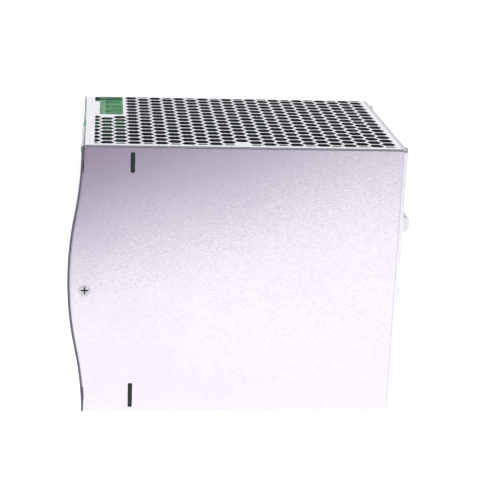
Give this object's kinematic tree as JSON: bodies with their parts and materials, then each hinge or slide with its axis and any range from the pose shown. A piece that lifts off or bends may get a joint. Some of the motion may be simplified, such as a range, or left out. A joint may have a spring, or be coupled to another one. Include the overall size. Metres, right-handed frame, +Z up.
{
  "type": "din rail power supply",
  "caption": "Metal-cased switching power supply for a top-hat rail, with a bulged front, hexagon-perforated covers, screw terminals, a signal plug and a sprung rail latch",
  "frame": {"origin": "centre of the bottom face of the case, without the rail foot", "axes": "+X to the right side panel, -Y out of the front panel, +Z up as it stands and as it hangs on a rail"},
  "size_m": [0.11, 0.1607, 0.1252],
  "materials": {
    "satin_panel": "satin",
    "cover_sheet": "satin",
    "front_sheet": "satin",
    "rear_sheet": "satin",
    "zinc_screw": "polished",
    "bracket_metal": "satin",
    "latch_steel": "satin",
    "spring_steel": "polished",
    "green_moulding": "fine matt",
    "orange_moulding": "fine matt",
    "tinned_copper": "bright",
    "circuit_board": "solder resist",
    "blue_moulding": "fine matt",
    "white_moulding": "fine matt",
    "clear_lens": "polished",
    "insulation_film": "fine matt",
    "capacitor_sleeve": "gloss",
    "ferrite": "ground",
    "winding_tape": "tape",
    "copper_winding": "enamelled",
    "capacitor_box": "fine matt",
    "fuse_ceramic": "glazed",
    "relay_case": "fine matt",
    "heatsink": "extruded",
    "black_epoxy": "moulded",
    "nickel_clamp": "plated"
  },
  "bodies": {
    "case": {"right_side_panel": "satin_panel", "left_side_panel": "satin_panel", "top_cover": "cover_sheet", "bottom_cover": "cover_sheet", "front_panel": "front_sheet", "rear_plate": "rear_sheet", "side_panel_screws": "zinc_screw", "rear_plate_screws": "zinc_screw", "din_bracket": "bracket_metal", "din_bracket_screws": "zinc_screw", "din_spring": "spring_steel", "output_terminal_block": "green_moulding", "input_terminal_block": "green_moulding", "terminal_contacts": "tinned_copper", "output_terminal_board": "circuit_board", "input_terminal_board": "circuit_board", "signal_header": "green_moulding", "signal_header_pins": "tinned_copper", "trimmer_body": "blue_moulding", "status_lamp": "clear_lens", "main_board": "circuit_board", "board_mountings": "zinc_screw", "insulation_sheet": "insulation_film", "bulk_capacitors": "capacitor_sleeve", "output_capacitors": "capacitor_sleeve", "transformer_core": "ferrite", "transformer_coil": "winding_tape", "pfc_choke_core": "ferrite", "pfc_choke_coil": "winding_tape", "line_filter_core": "ferrite", "line_filter_windings": "copper_winding", "film_capacitors": "capacitor_box", "fuse": "fuse_ceramic", "inrush_relay": "relay_case", "primary_heatsink": "heatsink", "secondary_heatsink": "heatsink", "power_semiconductors": "black_epoxy", "control_board": "circuit_board", "output_busbars": "tinned_copper"},
    "rail_latch": {"din_slider": "latch_steel"},
    "plug": {"signal_plug": "green_moulding"},
    "voltage_trimmer": {"trimmer_shaft": "white_moulding"},
    "lever_1": {"plug_lever_1": "orange_moulding"},
    "lever_2": {"plug_lever_2": "orange_moulding"},
    "lever_3": {"plug_lever_3": "orange_moulding"},
    "lever_4": {"plug_lever_4": "orange_moulding"},
    "output_screw_1": {"output_screw_1": "zinc_screw"},
    "output_clamp_1": {"output_clamp_1": "nickel_clamp"},
    "output_screw_2": {"output_screw_2": "zinc_screw"},
    "output_clamp_2": {"output_clamp_2": "nickel_clamp"},
    "output_screw_3": {"output_screw_3": "zinc_screw"},
    "output_clamp_3": {"output_clamp_3": "nickel_clamp"},
    "output_screw_4": {"output_screw_4": "zinc_screw"},
    "output_clamp_4": {"output_clamp_4": "nickel_clamp"},
    "input_screw_1": {"input_screw_1": "zinc_screw"},
    "input_clamp_1": {"input_clamp_1": "nickel_clamp"},
    "input_screw_2": {"input_screw_2": "zinc_screw"},
    "input_clamp_2": {"input_clamp_2": "nickel_clamp"},
    "input_screw_3": {"input_screw_3": "zinc_screw"},
    "input_clamp_3": {"input_clamp_3": "nickel_clamp"}
  },
  "joints": [
    {"name": "latch_slide", "type": "slide", "parent": "case", "child": "rail_latch", "axis": [0, 0, -1], "range_m": [0, 0.005], "stiffness_N_per_m": 400, "springref_m": -0.003, "deforming": ["din_spring"]},
    {"name": "plug_pull", "type": "slide", "parent": "case", "child": "plug", "axis": [0, -1, 0], "range_m": [0, 0.012]},
    {"name": "trimmer_turn", "type": "hinge", "parent": "case", "child": "voltage_trimmer", "pos_m": [0.04, -0.0686, 0.117], "axis": [0, 1, 0], "range_deg": [-135, 135]},
    {"name": "lever_1_press", "type": "slide", "parent": "plug", "child": "lever_1", "axis": [0, 1, 0], "range_m": [0, 0.001], "stiffness_N_per_m": 600, "springref_m": -0.001},
    {"name": "lever_2_press", "type": "slide", "parent": "plug", "child": "lever_2", "axis": [0, 1, 0], "range_m": [0, 0.001], "stiffness_N_per_m": 600, "springref_m": -0.001},
    {"name": "lever_3_press", "type": "slide", "parent": "plug", "child": "lever_3", "axis": [0, 1, 0], "range_m": [0, 0.001], "stiffness_N_per_m": 600, "springref_m": -0.001},
    {"name": "lever_4_press", "type": "slide", "parent": "plug", "child": "lever_4", "axis": [0, 1, 0], "range_m": [0, 0.001], "stiffness_N_per_m": 600, "springref_m": -0.001},
    {"name": "output_screw_1_turn", "type": "hinge", "parent": "case", "child": "output_screw_1", "pos_m": [-0.04664, -0.0668, 0.1132], "axis": [0, 1, 0], "range_deg": [0, 1028.6]},
    {"name": "output_clamp_1_rise", "type": "slide", "parent": "case", "child": "output_clamp_1", "axis": [0, -1, 0], "range_m": [0, 0.002]},
    {"name": "output_screw_2_turn", "type": "hinge", "parent": "case", "child": "output_screw_2", "pos_m": [-0.03648, -0.0668, 0.1132], "axis": [0, 1, 0], "range_deg": [0, 1028.6]},
    {"name": "output_clamp_2_rise", "type": "slide", "parent": "case", "child": "output_clamp_2", "axis": [0, -1, 0], "range_m": [0, 0.002]},
    {"name": "output_screw_3_turn", "type": "hinge", "parent": "case", "child": "output_screw_3", "pos_m": [-0.02632, -0.0668, 0.1132], "axis": [0, 1, 0], "range_deg": [0, 1028.6]},
    {"name": "output_clamp_3_rise", "type": "slide", "parent": "case", "child": "output_clamp_3", "axis": [0, -1, 0], "range_m": [0, 0.002]},
    {"name": "output_screw_4_turn", "type": "hinge", "parent": "case", "child": "output_screw_4", "pos_m": [-0.01616, -0.0668, 0.1132], "axis": [0, 1, 0], "range_deg": [0, 1028.6]},
    {"name": "output_clamp_4_rise", "type": "slide", "parent": "case", "child": "output_clamp_4", "axis": [0, -1, 0], "range_m": [0, 0.002]},
    {"name": "input_screw_1_turn", "type": "hinge", "parent": "case", "child": "input_screw_1", "pos_m": [-0.04156, -0.0668, 0.012], "axis": [0, 1, 0], "range_deg": [0, 1028.6]},
    {"name": "input_clamp_1_rise", "type": "slide", "parent": "case", "child": "input_clamp_1", "axis": [0, -1, 0], "range_m": [0, 0.002]},
    {"name": "input_screw_2_turn", "type": "hinge", "parent": "case", "child": "input_screw_2", "pos_m": [-0.0314, -0.0668, 0.012], "axis": [0, 1, 0], "range_deg": [0, 1028.6]},
    {"name": "input_clamp_2_rise", "type": "slide", "parent": "case", "child": "input_clamp_2", "axis": [0, -1, 0], "range_m": [0, 0.002]},
    {"name": "input_screw_3_turn", "type": "hinge", "parent": "case", "child": "input_screw_3", "pos_m": [-0.02124, -0.0668, 0.012], "axis": [0, 1, 0], "range_deg": [0, 1028.6]},
    {"name": "input_clamp_3_rise", "type": "slide", "parent": "case", "child": "input_clamp_3", "axis": [0, -1, 0], "range_m": [0, 0.002]}
  ],
  "couplings": [
    {"joint": "output_screw_1_turn", "follows": "output_clamp_1_rise", "rad_per_m": 8976},
    {"joint": "output_screw_2_turn", "follows": "output_clamp_2_rise", "rad_per_m": 8976},
    {"joint": "output_screw_3_turn", "follows": "output_clamp_3_rise", "rad_per_m": 8976},
    {"joint": "output_screw_4_turn", "follows": "output_clamp_4_rise", "rad_per_m": 8976},
    {"joint": "input_screw_1_turn", "follows": "input_clamp_1_rise", "rad_per_m": 8976},
    {"joint": "input_screw_2_turn", "follows": "input_clamp_2_rise", "rad_per_m": 8976},
    {"joint": "input_screw_3_turn", "follows": "input_clamp_3_rise", "rad_per_m": 8976}
  ]
}
